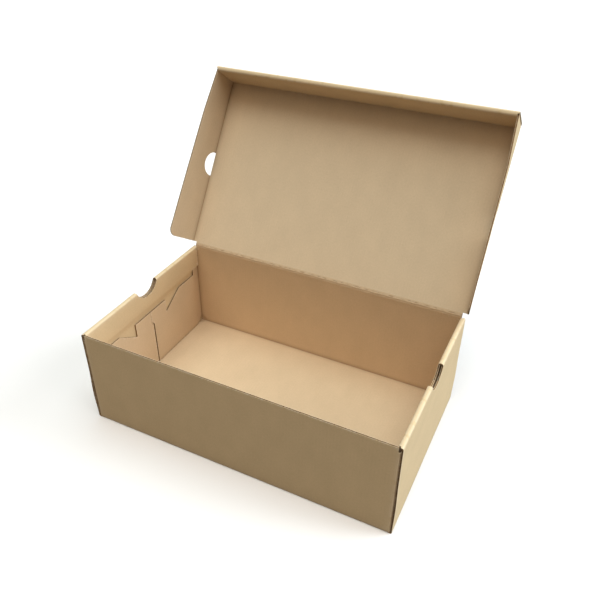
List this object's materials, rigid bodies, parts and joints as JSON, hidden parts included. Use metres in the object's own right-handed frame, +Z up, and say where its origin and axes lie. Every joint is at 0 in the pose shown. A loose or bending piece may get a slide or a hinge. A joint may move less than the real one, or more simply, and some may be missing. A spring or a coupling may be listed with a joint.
{
  "type": "folding shoe box with hinged lid",
  "caption": "Folded corrugated board box: low rectangular tray with finger notches and tucked corner flaps, and a hinged lid with side flaps and a folded-over front flap.",
  "frame": {"origin": "middle of the tray's underside, on the plane that the box stands on", "axes": "+X along the length, to the right seen from the front; +Y from the front wall to the wall that carries the lid; +Z up"},
  "size_m": [0.3498, 0.3088, 0.2999],
  "materials": {
    "tray_board": "matte",
    "lid_board": "matte"
  },
  "bodies": {
    "tray": {"tray": "tray_board"},
    "lid": {"lid": "lid_board"}
  },
  "joints": [
    {"name": "lid_hinge", "type": "hinge", "parent": "tray", "child": "lid", "pos_m": [0, 0.0977, 0.1111], "axis": [-1, 0, 0], "range_deg": [-124, 86]}
  ]
}
